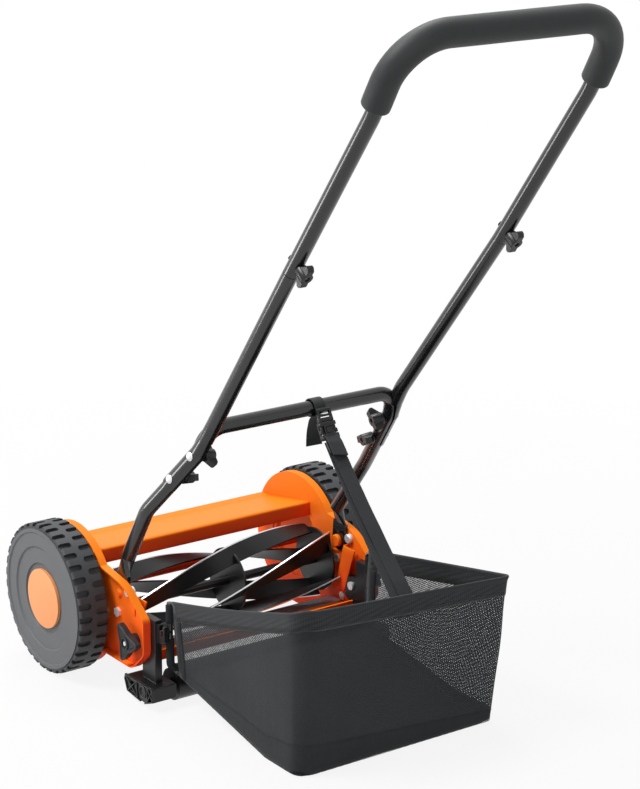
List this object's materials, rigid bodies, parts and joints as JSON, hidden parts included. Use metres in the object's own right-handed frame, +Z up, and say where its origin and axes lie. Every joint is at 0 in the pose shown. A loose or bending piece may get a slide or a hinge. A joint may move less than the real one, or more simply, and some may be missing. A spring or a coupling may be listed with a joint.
{
  "type": "reel mower",
  "caption": "Push reel mower with side plates, helical cutting reel, bed knife, geared wheels, rear roller, folding tube handle and fabric grass catcher.",
  "frame": {"origin": "centre of the bounding box's base, on the ground", "axes": "+X to the operator's right, +Y forward, the way it travels, +Z up"},
  "size_m": [0.4858, 0.8105, 0.9655],
  "materials": {
    "orange_paint": "gloss paint",
    "black_tube": "gloss powder coat",
    "black_blade": "satin paint, ground edge",
    "steel": "zinc plated",
    "ground_steel": "ground",
    "tyre": "moulded",
    "wheel_grey": "textured",
    "cap_orange": "satin",
    "black_plastic": "textured",
    "grey_plastic": "textured",
    "foam": "closed-cell foam",
    "bag_cloth": "woven mesh and cloth",
    "webbing": "woven webbing",
    "bronze": "sintered bush"
  },
  "bodies": {
    "chassis": {"right_side_plate": "orange_paint", "left_side_plate": "orange_paint", "front_crossbar": "orange_paint", "axle_tube": "orange_paint", "wheel_axle": "steel", "axle_nuts": "steel", "cutter_bar": "orange_paint", "bed_knife": "ground_steel", "bed_knife_screws": "steel", "cutter_bar_bolts": "steel", "reel_bearings": "bronze", "handle_studs": "orange_paint", "handle_stop_bolts": "steel"},
    "reel": {"reel_shaft": "black_blade", "reel_blade_1": "black_blade", "reel_blade_2": "black_blade", "reel_blade_3": "black_blade", "reel_blade_4": "black_blade", "reel_blade_5": "black_blade", "reel_disc_left": "black_blade", "reel_disc_middle": "black_blade", "reel_disc_right": "black_blade", "right_pinion": "ground_steel", "left_pinion": "ground_steel", "pinion_pawls": "ground_steel"},
    "handle": {"lower_handle": "black_tube", "right_handle_tube": "black_tube", "left_handle_tube": "black_tube", "top_handle": "black_tube", "foam_grip": "foam", "lower_joint_bolts": "steel", "upper_joint_bolts": "steel"},
    "carriage": {"right_roller_bracket": "black_plastic", "left_roller_bracket": "black_plastic", "roller_axle": "steel", "height_bolts": "steel"},
    "roller": {"roller": "black_plastic"},
    "catcher": {"catcher_frame": "black_tube", "grass_bag": "bag_cloth"},
    "strap": {"strap_loop": "webbing", "buckle_plug": "black_plastic", "buckle_socket": "black_plastic", "strap_webbing": "webbing", "strap_slider": "black_plastic"},
    "left_wheel": {"left_tyre": "tyre", "left_wheel_disc": "wheel_grey", "left_hubcap": "cap_orange", "left_wheel_bush": "bronze"},
    "right_wheel": {"right_tyre": "tyre", "right_wheel_disc": "wheel_grey", "right_hubcap": "cap_orange", "right_wheel_bush": "bronze"},
    "right_leg_knob_high": {"right_leg_knob_high": "black_plastic"},
    "right_leg_knob_low": {"right_leg_knob_low": "black_plastic"},
    "right_seam_knob": {"right_seam_knob": "black_plastic"},
    "right_height_knob": {"right_height_knob": "grey_plastic"},
    "left_leg_knob_high": {"left_leg_knob_high": "black_plastic"},
    "left_leg_knob_low": {"left_leg_knob_low": "black_plastic"},
    "left_seam_knob": {"left_seam_knob": "black_plastic"},
    "left_height_knob": {"left_height_knob": "grey_plastic"}
  },
  "joints": [
    {"name": "left_wheel_spin", "type": "hinge", "parent": "chassis", "child": "left_wheel", "pos_m": [-0.2191, 0.30025, 0.105], "axis": [-1, 0, 0], "continuous": true},
    {"name": "right_wheel_spin", "type": "hinge", "parent": "chassis", "child": "right_wheel", "pos_m": [0.2191, 0.30025, 0.105], "axis": [-1, 0, 0], "continuous": true},
    {"name": "reel_spin", "type": "hinge", "parent": "chassis", "child": "reel", "pos_m": [0, 0.22435, 0.101], "axis": [-1, 0, 0], "continuous": true},
    {"name": "handle_pivot", "type": "hinge", "parent": "chassis", "child": "handle", "pos_m": [0, 0.18725, 0.137], "axis": [-1, 0, 0], "range_deg": [0, 12]},
    {"name": "roller_height", "type": "slide", "parent": "chassis", "child": "carriage", "axis": [0, 0, 1], "range_m": [-0.012, 0.008]},
    {"name": "roller_spin", "type": "hinge", "parent": "carriage", "child": "roller", "pos_m": [0, 0.11525, 0.022], "axis": [-1, 0, 0], "continuous": true},
    {"name": "catcher_tilt", "type": "hinge", "parent": "carriage", "child": "catcher", "pos_m": [0, 0.09525, 0.108], "axis": [-1, 0, 0], "range_deg": [0, 13.7]},
    {"name": "strap_swing", "type": "hinge", "parent": "handle", "child": "strap", "pos_m": [0.03, 0.02425, 0.402], "axis": [-1, 0, 0], "range_deg": [-3.2, 0.2]},
    {"name": "right_leg_knob_high_turn", "type": "hinge", "parent": "handle", "child": "right_leg_knob_high", "pos_m": [0.13483, 0.04322, 0.36033], "axis": [-0.9826, 0.1248, -0.1374], "continuous": true},
    {"name": "right_leg_knob_low_turn", "type": "hinge", "parent": "handle", "child": "right_leg_knob_low", "pos_m": [0.14447, 0.07757, 0.3225], "axis": [-0.9826, 0.1248, -0.1374], "continuous": true},
    {"name": "right_seam_knob_turn", "type": "hinge", "parent": "handle", "child": "right_seam_knob", "pos_m": [0.158, -0.20359, 0.65012], "axis": [0, -0.8, -0.6], "continuous": true},
    {"name": "right_height_knob_turn", "type": "hinge", "parent": "carriage", "child": "right_height_knob", "pos_m": [0.195, 0.14625, 0.082], "axis": [1, 0, 0], "continuous": true},
    {"name": "left_leg_knob_high_turn", "type": "hinge", "parent": "handle", "child": "left_leg_knob_high", "pos_m": [-0.13483, 0.04322, 0.36033], "axis": [0.9826, 0.1248, -0.1374], "continuous": true},
    {"name": "left_leg_knob_low_turn", "type": "hinge", "parent": "handle", "child": "left_leg_knob_low", "pos_m": [-0.14447, 0.07757, 0.3225], "axis": [0.9826, 0.1248, -0.1374], "continuous": true},
    {"name": "left_seam_knob_turn", "type": "hinge", "parent": "handle", "child": "left_seam_knob", "pos_m": [-0.158, -0.20359, 0.65012], "axis": [0, -0.8, -0.6], "continuous": true},
    {"name": "left_height_knob_turn", "type": "hinge", "parent": "carriage", "child": "left_height_knob", "pos_m": [-0.195, 0.14625, 0.082], "axis": [-1, 0, 0], "continuous": true}
  ],
  "couplings": [
    {"joint": "right_wheel_spin", "follows": "left_wheel_spin", "ratio": 1},
    {"joint": "reel_spin", "follows": "left_wheel_spin", "ratio": 7.3333},
    {"joint": "catcher_tilt", "follows": "handle_pivot", "ratio": 1.123},
    {"joint": "strap_swing", "follows": "handle_pivot", "ratio": -0.242}
  ]
}
